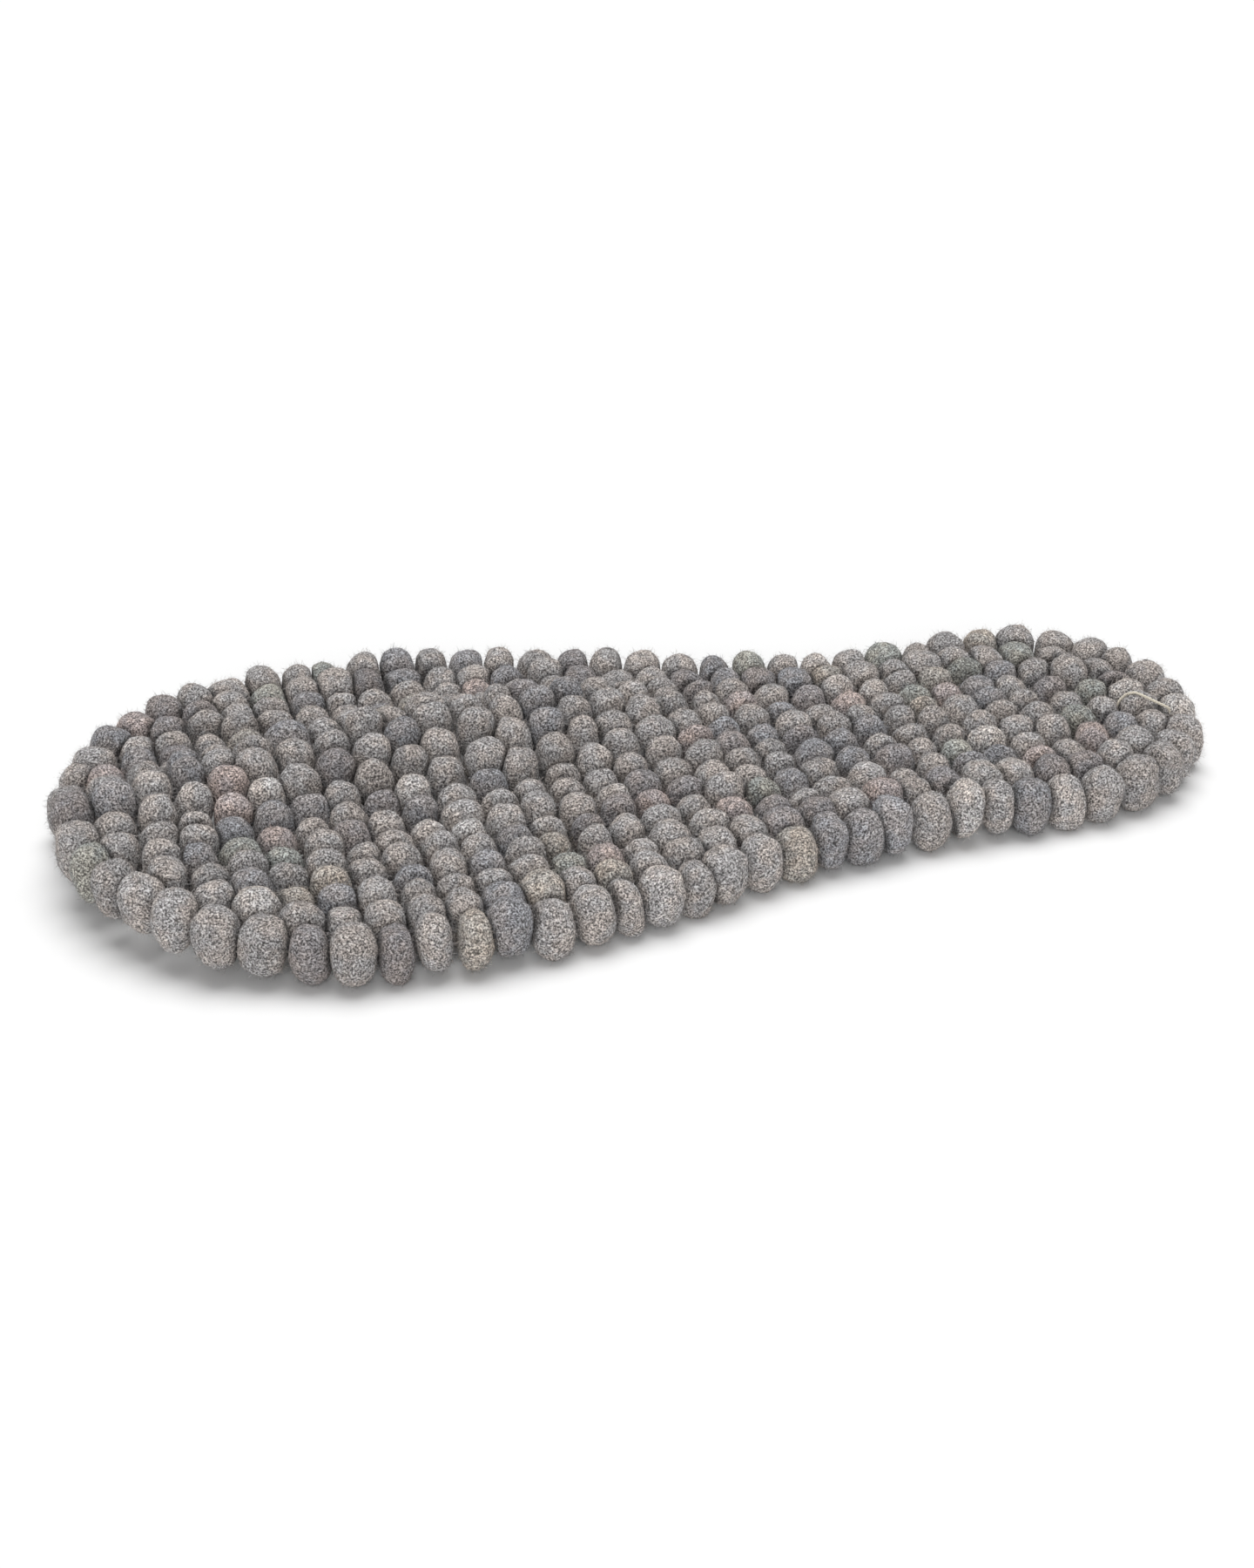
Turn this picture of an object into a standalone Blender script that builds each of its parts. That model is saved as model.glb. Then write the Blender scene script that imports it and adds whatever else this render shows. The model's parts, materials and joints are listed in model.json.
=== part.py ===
"""Felt ball mat: rows of pressed wool balls inside a rim of bigger balls, all sewn on cotton thread.

The long way is X, with the broad lobe at -X and the narrow lobe at +X. The mat lies on Z = 0.
The rows run across the mat, and every few rows form a panel that can fold up against the next.
"""

import math

import bmesh
import bpy
import numpy as np

# ---- Outline, as lengths along X that follow each other from the broad tip ----
BROAD_REACH = 0.152        # broad tip to where the broad lobe is widest
BROAD_STRAIGHT = 0.030     # the widest stretch
SHOULDER_LENGTH = 0.268    # broad lobe down to the waist
NECK_LENGTH = 0.053        # waist out to the widest place of the narrow lobe
NARROW_REACH = 0.097       # that place to the narrow tip
BROAD_HALF_WIDTH = 0.152
WAIST_HALF_WIDTH = 0.0925
NARROW_HALF_WIDTH = 0.0965
BROAD_ROUNDNESS = 2.18     # 2 is an ellipse, and more is squarer
NARROW_ROUNDNESS = 2.2
WAIST_SIDE_SHIFT = -0.004  # how far the middle line wanders at the waist
NARROW_SIDE_SHIFT = 0.001  # and how far at the narrow tip

# ---- Balls ----
BALL_HEIGHT = 0.030
BALL_PITCH = 0.018         # along a row
RIM_PITCH = 0.0205         # along the rim
RIM_DEPTH = 0.019
ROW_COUNT = 30
PANEL_COUNT = 6
PRESSED_WAIST = 0.74       # swell left where two balls press on each other
BARREL_SHARE = 1 / 3       # straight middle stretch of a ball
CROWN_SHARE = 0.5          # flat top and bottom as a share of a ball's depth

# ---- Lie of the mat ----
RIDGE_HEIGHT = 0.018
RIDGE_FRONT_WIDTH = 0.070  # from the crest down to the flat on the gentle front side
RIDGE_BACK_WIDTH = 0.034   # and on the steep back side
RIDGE_START = -0.012       # from the middle line to the crest at the broad tip
RIDGE_OFFSET = 0.047       # and where the crest runs straight
RIDGE_BEND_LENGTH = 0.240  # how far along the crest bends from the one to the other
RIDGE_BEND_POWER = 1.6     # 1 is a straight run, and more bends harder at its start
RIDGE_FULL_LENGTH = 0.250
RIDGE_FADE_LENGTH = 0.110
EDGE_LIFT = 0.012
EDGE_LIFT_RADIUS = 0.120
EDGE_LIFT_START = 0.030    # from the broad tip to the middle of the lifted stretch, along X
EDGE_LIFT_OFFSET = -0.070  # and from the middle line, along Y

# ---- Thread and clearances ----
THREAD_RADIUS = 0.0006
LACING_RADIUS = 0.0004
THREAD_CLEARANCE = 0.0004
LACING_CLEARANCE = 0.0003
ROW_GAP = 0.0003
RIM_JOINT_GAP = 0.0003     # where a rim's front and back halves meet at a tip
THREAD_STEP = 0.038        # longest straight stretch of thread inside a row
RIM_THREAD_STEP = 0.030
THREAD_END_INSET = 0.002
TUNNEL_OVERRUN = 0.008
FIELD_STEP = 0.009
TRACK_SAMPLES = 1200
SPARE_BALLS = 2            # balls made past each end of a row, for the field's edge to cut off
RIM_OVERRUN = 0.005        # rim made past a fold or tip, to be cut off square
CUTTER_TOP = 0.090
WELD_DISTANCE = 1e-6

HALF_HEIGHT = BALL_HEIGHT / 2
MAT_LENGTH = BROAD_REACH + BROAD_STRAIGHT + SHOULDER_LENGTH + NECK_LENGTH + NARROW_REACH
BROAD_TIP = -MAT_LENGTH / 2
TUNNEL_RADIUS = THREAD_RADIUS + THREAD_CLEARANCE
CHANNEL = 2 * TUNNEL_RADIUS + THREAD_CLEARANCE
RIM_MIDDLE = RIM_DEPTH / 2
THREAD_TRACK = RIM_DEPTH + CHANNEL / 2
FIELD_TRACK = RIM_DEPTH + CHANNEL
FOLD_GAP = 2 * (LACING_RADIUS + LACING_CLEARANCE)
FOLD_EXTRA = FOLD_GAP - ROW_GAP
ROW_PITCH = (MAT_LENGTH - 2 * FIELD_TRACK - (PANEL_COUNT - 1) * FOLD_EXTRA) / ROW_COUNT
ROW_HALF_DEPTH = (ROW_PITCH - ROW_GAP) / 2
FRONT, BACK = -1, 1

FELT_GREYS = ((0.235, 0.225, 0.215), (0.270, 0.262, 0.255), (0.215, 0.212, 0.210))
RIM_GREY = (0.250, 0.240, 0.228)
COTTON = (0.72, 0.66, 0.55)


# ---- Plan shape ----

def ease(t):
    """0 to 1 with level ends."""
    t = min(max(t, 0.0), 1.0)
    return t * t * (3 - 2 * t)


def bump(t):
    """1 at the middle, falling smoothly to nothing one unit away."""
    return (1 - t * t) ** 2 if abs(t) < 1 else 0.0


def half_width(u):
    """Half the mat's width at a distance u from the broad tip."""
    if u < BROAD_REACH:
        share = min(1 - u / BROAD_REACH, 1.0)
        return BROAD_HALF_WIDTH * (1 - share ** BROAD_ROUNDNESS) ** (1 / BROAD_ROUNDNESS)
    u -= BROAD_REACH + BROAD_STRAIGHT
    if u < SHOULDER_LENGTH:
        return BROAD_HALF_WIDTH + (WAIST_HALF_WIDTH - BROAD_HALF_WIDTH) * ease(u / SHOULDER_LENGTH)
    u -= SHOULDER_LENGTH
    if u < NECK_LENGTH:
        return WAIST_HALF_WIDTH + (NARROW_HALF_WIDTH - WAIST_HALF_WIDTH) * ease(u / NECK_LENGTH)
    share = min((u - NECK_LENGTH) / NARROW_REACH, 1.0)
    return NARROW_HALF_WIDTH * (1 - share ** NARROW_ROUNDNESS) ** (1 / NARROW_ROUNDNESS)


def middle(x):
    """Y of the middle line, which wanders a little between the waist and the narrow tip."""
    waist = BROAD_TIP + BROAD_REACH + BROAD_STRAIGHT + SHOULDER_LENGTH
    to_waist = ease(1 - (waist - x) / SHOULDER_LENGTH)
    to_lobe = ease((x - waist) / (NECK_LENGTH + NARROW_REACH / 2))
    return WAIST_SIDE_SHIFT * to_waist + (NARROW_SIDE_SHIFT - WAIST_SIDE_SHIFT) * to_lobe


def track(side, inset):
    """One side of the outline from tip to tip, moved in by inset, as rows of x and y."""
    turn = np.linspace(0.0, math.pi, TRACK_SAMPLES)
    xs = -MAT_LENGTH / 2 * np.cos(turn)
    edge = np.array([(x, middle(x) + side * half_width(x - BROAD_TIP)) for x in xs])
    along = np.gradient(edge, axis=0)
    along[0] = along[-1] = (0.0, 1.0)
    along /= np.linalg.norm(along, axis=1)[:, None]
    inward = np.column_stack([-along[:, 1], along[:, 0]]) * -side
    inward[0] = (1.0, 0.0)
    inward[-1] = (-1.0, 0.0)
    return edge + inset * inward


def walk(side, inset, x_from, x_to, step):
    """Evenly spaced places along a track between two values of x, both ends among them."""
    line = track(side, inset)
    lengths = np.concatenate([[0.0], np.cumsum(np.linalg.norm(np.diff(line, axis=0), axis=1))])
    start, end = (np.interp(x, line[:, 0], lengths) for x in (x_from, x_to))
    count = max(1, math.ceil(abs(end - start) / step))
    stops = np.linspace(start, end, count + 1)
    return [(np.interp(s, lengths, line[:, 0]), np.interp(s, lengths, line[:, 1])) for s in stops]


def track_y(side, inset, x):
    """Y of a track at x."""
    line = track(side, inset)
    return float(np.interp(x, line[:, 0], line[:, 1]))


def lift(x, y):
    """How far the mat stands off the floor at a place: a soft ridge, and a lifted broad tip."""
    u = x - BROAD_TIP
    bend = 1 - max(0.0, 1 - u / RIDGE_BEND_LENGTH) ** RIDGE_BEND_POWER
    crest = RIDGE_START + (RIDGE_OFFSET - RIDGE_START) * bend
    along = 1 - ease((u - RIDGE_FULL_LENGTH) / RIDGE_FADE_LENGTH)
    width = RIDGE_BACK_WIDTH if y > crest else RIDGE_FRONT_WIDTH
    ridge = RIDGE_HEIGHT * along * bump((y - crest) / width)
    away = math.hypot(u - EDGE_LIFT_START, y - EDGE_LIFT_OFFSET)
    edge = EDGE_LIFT * bump(away / EDGE_LIFT_RADIUS)
    return (ridge ** 3 + edge ** 3) ** (1 / 3)


def raised(place):
    """A plan place at the height of the balls' middles."""
    x, y = place
    return (x, y, HALF_HEIGHT + lift(x, y))


def panel_of(row):
    return row * PANEL_COUNT // ROW_COUNT


def row_x(row):
    """X of a row's middle line. Each fold before it takes a little more room than a plain gap."""
    return BROAD_TIP + FIELD_TRACK + (row + 0.5) * ROW_PITCH + panel_of(row) * FOLD_EXTRA


def rows_of(panel):
    return [row for row in range(ROW_COUNT) if panel_of(row) == panel]


def fold_x(fold):
    """X of the fold between panel number fold and the next."""
    last = rows_of(fold)[-1]
    return (row_x(last) + row_x(last + 1)) / 2


# ---- Making things ----

def clear_scene():
    for old in list(bpy.data.objects):
        bpy.data.objects.remove(old, do_unlink=True)


def collection(name):
    made = bpy.data.collections.new(name)
    bpy.context.scene.collection.children.link(made)
    return made


def material(name, colour, roughness):
    made = bpy.data.materials.new(name)
    made.use_nodes = True
    shader = made.node_tree.nodes["Principled BSDF"]
    shader.inputs["Base Color"].default_value = (*colour, 1.0)
    shader.inputs["Roughness"].default_value = roughness
    shader.inputs["Metallic"].default_value = 0.0
    return made


def hide_tool(obj):
    obj.hide_render = True
    obj.display_type = "WIRE"


def section(name, half_depth, home):
    """A ball's cross-section: level top and bottom, widest at mid height."""
    outline = bpy.data.curves.new(name, "CURVE")
    outline.dimensions = "2D"
    spline = outline.splines.new("POLY")
    crown = half_depth * CROWN_SHARE
    corners = ((half_depth, 0), (crown, HALF_HEIGHT), (-crown, HALF_HEIGHT),
               (-half_depth, 0), (-crown, -HALF_HEIGHT), (crown, -HALF_HEIGHT))
    spline.points.add(len(corners) - 1)
    for point, (x, y) in zip(spline.points, corners):
        point.co = (x, y, 0, 1)
    spline.use_cyclic_u = True
    made = bpy.data.objects.new(name, outline)
    home.objects.link(made)
    hide_tool(made)
    return made


def swept(name, stations, home, look=None, shape=None, radius=0.0):
    """A closed mesh swept along stations of (place, swell), with a section object or a radius."""
    curve = bpy.data.curves.new(name, "CURVE")
    curve.dimensions = "3D"
    curve.twist_mode = "Z_UP"
    curve.use_fill_caps = True
    if shape:
        curve.bevel_mode = "OBJECT"
        curve.bevel_object = shape
    else:
        curve.bevel_depth = radius
        curve.bevel_resolution = 0
    spline = curve.splines.new("POLY")
    spline.points.add(len(stations) - 1)
    for point, (place, swell) in zip(spline.points, stations):
        point.co = (*place, 1)
        point.radius = swell
    guide = bpy.data.objects.new(name + "_guide", curve)
    home.objects.link(guide)
    bpy.context.view_layer.update()
    evaluated = guide.evaluated_get(bpy.context.evaluated_depsgraph_get())
    mesh = bpy.data.meshes.new_from_object(evaluated)
    mesh.name = name
    bpy.data.objects.remove(guide, do_unlink=True)
    made = bpy.data.objects.new(name, mesh)
    home.objects.link(made)
    mesh.materials.clear()
    if look:
        mesh.materials.append(look)
    tidy = bmesh.new()
    tidy.from_mesh(mesh)
    bmesh.ops.remove_doubles(tidy, verts=tidy.verts, dist=WELD_DISTANCE)
    bmesh.ops.recalc_face_normals(tidy, faces=tidy.faces)
    tidy.to_mesh(mesh)
    tidy.free()
    return made


def block(name, low, high, home):
    """A box from its lowest to its highest corner."""
    mesh = bpy.data.meshes.new(name)
    shape = bmesh.new()
    bmesh.ops.create_cube(shape, size=1.0)
    for vertex in shape.verts:
        vertex.co = [a + (b - a) * (c + 0.5) for a, b, c in zip(low, high, vertex.co)]
    shape.to_mesh(mesh)
    shape.free()
    made = bpy.data.objects.new(name, mesh)
    home.objects.link(made)
    hide_tool(made)
    return made


def plan_prism(name, outline, bottom, top, home):
    """An upright prism on a plan outline."""
    mesh = bpy.data.meshes.new(name)
    shape = bmesh.new()
    floor = shape.faces.new([shape.verts.new((x, y, bottom)) for x, y in outline])
    grown = bmesh.ops.extrude_face_region(shape, geom=[floor])["geom"]
    for vertex in (v for v in grown if isinstance(v, bmesh.types.BMVert)):
        vertex.co.z = top
    bmesh.ops.recalc_face_normals(shape, faces=shape.faces)
    shape.to_mesh(mesh)
    shape.free()
    made = bpy.data.objects.new(name, mesh)
    home.objects.link(made)
    hide_tool(made)
    return made


def boolean(piece, tool, operation):
    step = piece.modifiers.new(operation.lower() + "_" + tool.name, "BOOLEAN")
    step.operation = operation
    step.solver = "EXACT"
    step.object = tool


def ball_stations(places, pitch_at):
    """Stations along a string of balls: places(s) gives a point, pitch_at lists ball boundaries."""
    stations = []
    for start, end in zip(pitch_at, pitch_at[1:]):
        half, centre = (end - start) / 2, (end + start) / 2
        stations.append((places(start), PRESSED_WAIST))
        stations.append((places(centre - half * BARREL_SHARE), 1.0))
        stations.append((places(centre + half * BARREL_SHARE), 1.0))
    stations.append((places(pitch_at[-1]), PRESSED_WAIST))
    return stations


# ---- The mat's pieces ----

def make_row(row, name, look, shape, field, home):
    """One string of balls across the mat. Its ends are pressed flat against the rim."""
    x = row_x(row)
    front, back = (track_y(side, FIELD_TRACK, x) for side in (FRONT, BACK))
    odd = row % 2
    count = 2 * round(((back - front) / BALL_PITCH - odd) / 2) + odd
    pitch = (back - front) / count
    bounds = [front + pitch * k for k in range(-SPARE_BALLS, count + SPARE_BALLS + 1)]
    made = swept(name, ball_stations(lambda y: raised((x, y)), bounds), home, look, shape)
    boolean(made, field, "INTERSECT")
    return made


def make_rim(panel, side, name, look, shape, tools, home):
    """The rim balls along one side of a panel, cut square at each fold and at the tips."""
    starts_at_tip, ends_at_tip = panel == 0, panel == PANEL_COUNT - 1
    line = track(side, RIM_MIDDLE)
    lengths = np.concatenate([[0.0], np.cumsum(np.linalg.norm(np.diff(line, axis=0), axis=1))])
    x_from = line[0, 0] if starts_at_tip else fold_x(panel - 1)
    x_to = line[-1, 0] if ends_at_tip else fold_x(panel)
    start, end = (np.interp(x, line[:, 0], lengths) for x in (x_from, x_to))
    count = round((end - start) / RIM_PITCH)
    bounds = [start + (end - start) * k / count for k in range(count + 1)]

    def place(s):
        """A place on the track, carried on straight past its ends."""
        reach = min(max(s, 0.0), lengths[-1])
        x, y = (float(np.interp(reach, lengths, line[:, k])) for k in (0, 1))
        return raised((x, y - side * (s - reach) * (1 if s > reach else -1)))

    stations = [(place(start - RIM_OVERRUN), PRESSED_WAIST)]
    stations += ball_stations(place, bounds)
    stations += [(place(end + RIM_OVERRUN), PRESSED_WAIST)]
    made = swept(name, stations, home, look, shape)
    low_x = BROAD_TIP - RIM_OVERRUN if starts_at_tip else x_from + FOLD_GAP / 2
    high_x = -BROAD_TIP + RIM_OVERRUN if ends_at_tip else x_to - FOLD_GAP / 2
    tip_x = line[0, 0] if starts_at_tip else line[-1, 0]
    tip_y = middle(tip_x) if starts_at_tip or ends_at_tip else middle((x_from + x_to) / 2)
    inner = tip_y + side * RIM_JOINT_GAP / 2
    outer = side * (BROAD_HALF_WIDTH + NARROW_HALF_WIDTH)
    low = (low_x, min(inner, outer), -BALL_HEIGHT)
    high = (high_x, max(inner, outer), CUTTER_TOP)
    boolean(made, block("cut_" + name, low, high, tools), "INTERSECT")
    return made


def row_run(row, towards):
    """The thread's places through one row, from one channel to the other."""
    x = row_x(row)
    ends = [track_y(side, THREAD_TRACK, x) for side in (-towards, towards)]
    count = math.ceil(abs(ends[1] - ends[0]) / THREAD_STEP)
    return [(x, y) for y in np.linspace(*ends, count + 1)]


def rows_run(rows, towards):
    """Through each row in turn, and round in the channel beside the rim from row to row."""
    places = []
    for row, after in zip(rows, rows[1:] + [None]):
        places += row_run(row, towards)
        if after is not None:
            places += walk(towards, THREAD_TRACK, row_x(row), row_x(after), FIELD_STEP)[1:-1]
        towards = -towards
    return places


def rim_run(side, x_from, x_to):
    return walk(side, RIM_MIDDLE, x_from, x_to, RIM_THREAD_STEP)


def thread_route(panel):
    """A panel's thread. It strings the rim, then turns in through the rows."""
    rows = rows_of(panel)
    inset = FOLD_GAP / 2 + THREAD_END_INSET
    tips = [track(FRONT, RIM_MIDDLE)[k, 0] for k in (0, -1)]
    if panel == 0:
        start = fold_x(panel) - inset
        round_tip = rim_run(FRONT, start, tips[0]) + rim_run(BACK, tips[0], row_x(rows[-1]))[1:]
        return round_tip + rows_run(rows[::-1], FRONT)
    start = fold_x(panel - 1) + inset
    if panel == PANEL_COUNT - 1:
        round_tip = rim_run(FRONT, start, tips[1]) + rim_run(BACK, tips[1], row_x(rows[0]))[1:]
        return round_tip + rows_run(rows, FRONT)
    inward = rim_run(FRONT, start, row_x(rows[-1])) + rows_run(rows[::-1], BACK)
    last_side = BACK if len(rows) % 2 else FRONT
    return inward + rim_run(last_side, row_x(rows[0]), fold_x(panel) - inset)


def overrun(route):
    """The same route with both ends carried on straight, for a tunnel that breaks out."""
    points = [np.array(point) for point in route]
    for end, inside in ((0, 1), (-1, -2)):
        direction = points[end] - points[inside]
        points[end] = points[end] + TUNNEL_OVERRUN * direction / np.linalg.norm(direction)
    return [tuple(point) for point in points]


def make_lacing(fold, name, look, home):
    """The thread that laces two panels together, lying in the gap between them."""
    x = fold_x(fold)
    front, back = (track_y(side, THREAD_TRACK, x) for side in (FRONT, BACK))
    count = math.ceil((back - front) / THREAD_STEP) * 2
    route = [raised((x, y)) for y in np.linspace(front, back, count + 1)]
    return swept(name, [(place, 1.0) for place in route], home, look, radius=LACING_RADIUS)


def build():
    clear_scene()
    mat = collection("felt_ball_mat")
    tools = collection("cutters")
    felts = [material(f"wool_felt_{k + 1}", grey, 0.95) for k, grey in enumerate(FELT_GREYS)]
    rim_felt = material("wool_felt_rim", RIM_GREY, 0.95)
    cotton = material("cotton_thread", COTTON, 0.80)
    row_section = section("row_ball_section", ROW_HALF_DEPTH, tools)
    rim_section = section("rim_ball_section", RIM_DEPTH / 2, tools)
    edge_front, edge_back = (
        walk(side, FIELD_TRACK, -MAT_LENGTH, MAT_LENGTH, FIELD_STEP) for side in (FRONT, BACK)
    )
    outline = edge_front + edge_back[-2:0:-1]
    field = plan_prism("field_inside_rim", outline, -BALL_HEIGHT, CUTTER_TOP, tools)
    for panel in range(PANEL_COUNT):
        pieces = [
            make_row(row, f"row_{row + 1:02d}", felts[row % len(felts)], row_section, field, mat)
            for row in rows_of(panel)
        ]
        pieces += [
            make_rim(panel, side, f"rim_{word}_{panel + 1}", rim_felt, rim_section, tools, mat)
            for side, word in ((FRONT, "front"), (BACK, "back"))
        ]
        route = [raised(place) for place in thread_route(panel)]
        stations = [(place, 1.0) for place in route]
        swept(f"thread_{panel + 1}", stations, mat, cotton, radius=THREAD_RADIUS)
        stations = [(place, 1.0) for place in overrun(route)]
        tunnel = swept(f"tunnel_{panel + 1}", stations, tools, radius=TUNNEL_RADIUS)
        hide_tool(tunnel)
        for piece in pieces:
            boolean(piece, tunnel, "DIFFERENCE")
    for fold in range(PANEL_COUNT - 1):
        make_lacing(fold, f"fold_lacing_{fold + 1}", cotton, mat)


build()
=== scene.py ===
# %% [markdown]
# # A mat of felted wool balls
# The mat is several hundred small wool balls, wet-felted by hand, threaded in rows and sewn tightly
# together inside a rim of bigger balls. This lesson builds each ball as a soft shape that its
# neighbours press flat, covers it with loose fibres, and gives it a marled wool finish.
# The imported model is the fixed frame: every place and size below is measured on it.

# %% Load the frame and keep its box
import json
import math

import bmesh
import bpy
import numpy as np
from mathutils import Euler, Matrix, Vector, noise
from mathutils.bvhtree import BVHTree

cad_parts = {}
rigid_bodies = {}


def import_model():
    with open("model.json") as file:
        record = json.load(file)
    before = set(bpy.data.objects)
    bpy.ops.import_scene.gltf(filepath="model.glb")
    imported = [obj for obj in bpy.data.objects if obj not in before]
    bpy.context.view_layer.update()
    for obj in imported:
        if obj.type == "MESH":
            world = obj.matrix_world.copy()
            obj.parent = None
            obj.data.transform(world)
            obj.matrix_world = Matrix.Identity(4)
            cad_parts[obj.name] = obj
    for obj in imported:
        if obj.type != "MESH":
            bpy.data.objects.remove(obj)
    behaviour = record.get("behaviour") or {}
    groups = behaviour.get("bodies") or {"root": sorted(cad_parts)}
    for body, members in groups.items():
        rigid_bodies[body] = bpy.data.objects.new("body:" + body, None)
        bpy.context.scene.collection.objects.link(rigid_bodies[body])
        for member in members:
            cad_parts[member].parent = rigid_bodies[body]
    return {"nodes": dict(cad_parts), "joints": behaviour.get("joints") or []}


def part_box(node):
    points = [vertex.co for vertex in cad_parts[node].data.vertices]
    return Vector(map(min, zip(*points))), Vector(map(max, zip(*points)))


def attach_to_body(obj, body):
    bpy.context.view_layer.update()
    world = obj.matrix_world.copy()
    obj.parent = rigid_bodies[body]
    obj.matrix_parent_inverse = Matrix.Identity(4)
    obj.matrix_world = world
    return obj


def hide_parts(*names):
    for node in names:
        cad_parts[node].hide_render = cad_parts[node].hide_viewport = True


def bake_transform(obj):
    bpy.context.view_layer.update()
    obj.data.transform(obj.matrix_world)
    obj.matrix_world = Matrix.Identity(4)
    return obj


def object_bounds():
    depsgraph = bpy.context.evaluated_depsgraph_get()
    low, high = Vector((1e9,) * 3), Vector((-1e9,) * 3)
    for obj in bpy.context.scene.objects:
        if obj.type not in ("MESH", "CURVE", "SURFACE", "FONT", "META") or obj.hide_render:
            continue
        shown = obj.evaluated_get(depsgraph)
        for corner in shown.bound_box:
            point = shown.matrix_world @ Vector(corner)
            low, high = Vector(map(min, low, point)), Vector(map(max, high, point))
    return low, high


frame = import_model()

cad_box = [list(corner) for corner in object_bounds()]
nodes = frame["nodes"]
row_names = sorted(name for name in nodes if name.startswith("row_"))
rim_names = sorted(name for name in nodes if name.startswith("rim_"))
print("rows", len(row_names), "rim pieces", len(rim_names))

# %% [markdown]
# ## Folds and panels
# The mat bends at five folds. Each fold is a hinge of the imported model, so its place along the mat
# comes from the joints, and the bodies on its two sides come from there too.

# %% Read the folds along X
folds = sorted(
    (
        {"x": joint["pos_m"][0], "joint": joint["name"], "bodies": (joint["parent"], joint["child"])}
        for joint in frame["joints"]
    ),
    key=lambda fold: fold["x"],
)
for fold in folds:
    fold["bodies"] = sorted(fold["bodies"])
print("folds at", [round(fold["x"], 4) for fold in folds])

# %% [markdown]
# ## Measuring the frame
# A ray that meets a solid gives a place on its surface. Two short helpers turn the rows and the rim
# of the frame into surfaces that rays can meet, so that each ball knows how high the mat is there.

# %% Surfaces to measure on
PROBE_REACH = 0.5          # how far outside the mat a ray starts
MID_LEVEL = 0.020          # a height that lies inside every ball, flat or raised
TUNNEL_MISS = 0.0025       # far enough aside to miss the thread's tunnel


def surface_of(pieces):
    """A surface for rays, made of some objects' meshes."""
    points, faces = [], []
    for piece in pieces:
        mesh = piece.data
        start = len(points)
        points += [vertex.co.copy() for vertex in mesh.vertices]
        faces += [[start + k for k in polygon.vertices] for polygon in mesh.polygons]
    return BVHTree.FromPolygons(points, faces)


def meet(surface, start, direction):
    """Where a ray first meets a surface, or None."""
    return surface.ray_cast(Vector(start), Vector(direction).normalized())[0]


def height_span(surface, x, y):
    """Lowest and highest point of a surface at a place, or None."""
    over = meet(surface, (x, y, PROBE_REACH), (0, 0, -1))
    under = meet(surface, (x, y, -PROBE_REACH), (0, 0, 1))
    return (under.z, over.z) if over and under else None


rim_surface = surface_of(nodes[name] for name in rim_names)
print("rim surface made of", len(rim_names), "pieces")

# %% [markdown]
# ## Where the balls of a row sit
# A row is a straight string of balls from rim to rim. Its ends are found by two rays that come in
# from outside, and the balls share the length between them. Every other row holds an odd number,
# so the balls of one row sit in the hollows of the next, as they do when a mat is sewn. Hand-rolled
# balls are never quite one size, so the borders between them are shifted a little. A row's two end
# balls are marked, because they spread into the corners that the curved rim leaves.

# %% Place the row balls
BALL_PITCH = 0.018
END_REACH = 0.0012         # a row's last balls also fill the thread's channel beside the rim
FOLD_SPREAD = 0.0005       # rows beside a fold spread a little into its gap
ROW_UNEVENNESS = 0.10      # how far a border may shift, as a share of the pitch
SEED = 41

luck = np.random.default_rng(SEED)


def row_ends(surface, x):
    """Y of a row's front and back end on its middle line."""
    ends = []
    for side in (-1, 1):
        hits = [
            meet(surface, (x + aside, side * PROBE_REACH, MID_LEVEL), (0, -side, 0))
            for aside in (-TUNNEL_MISS, TUNNEL_MISS)
        ]
        ends.append(sum(hit.y for hit in hits) / len(hits) + side * END_REACH)
    return ends


def shared_out(start, end, count, unevenness):
    """Middle and half width of each ball along a stretch that the balls share unevenly."""
    pitch = (end - start) / count
    borders = start + pitch * np.arange(count + 1)
    borders[1:-1] += pitch * unevenness * np.clip(luck.normal(0, 1, count - 1), -1.5, 1.5)
    return [((low + high) / 2, (high - low) / 2) for low, high in zip(borders, borders[1:])]


balls = []
for number, name in enumerate(row_names):
    low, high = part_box(name)
    x = (low.x + high.x) / 2
    surface = surface_of([nodes[name]])
    front, back = row_ends(surface, x)
    half_depth = (high.x - low.x) / 2
    if min(abs(x - fold["x"]) for fold in folds) < 2 * half_depth:
        half_depth += FOLD_SPREAD
    odd = number % 2
    count = 2 * round(((back - front) / BALL_PITCH - odd) / 2) + odd
    for k, (y, half_width) in enumerate(shared_out(front, back, count, ROW_UNEVENNESS)):
        bottom, top = height_span(surface, x, y)
        balls.append({
            "row": number, "centre": (x, y, (bottom + top) / 2), "turn": 0.0,
            "half": (half_depth, half_width), "end": k in (0, count - 1),
        })
row_ball_count = len(balls)
print("row balls", row_ball_count)

# %% [markdown]
# ## Walking round the rim
# The rim has no straight middle line, so it is followed step by step. From each step a ray comes in
# from outside and another from inside. Half way between them is the rim's middle, and the next step
# goes on from there. The line is then cut at the folds, and each stretch is shared by its balls.

# %% Follow the rim's middle line
STEP = 0.002
START_X = 0.01             # where the walk starts, on the front side
FEELER = 0.030             # how far each side a feeling ray starts
EASING = 0.5               # how far a step moves from its guess towards the middle it felt
FEWEST_STEPS, MOST_STEPS = 100, 5000
SMOOTHING_ROUNDS = 6


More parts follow.
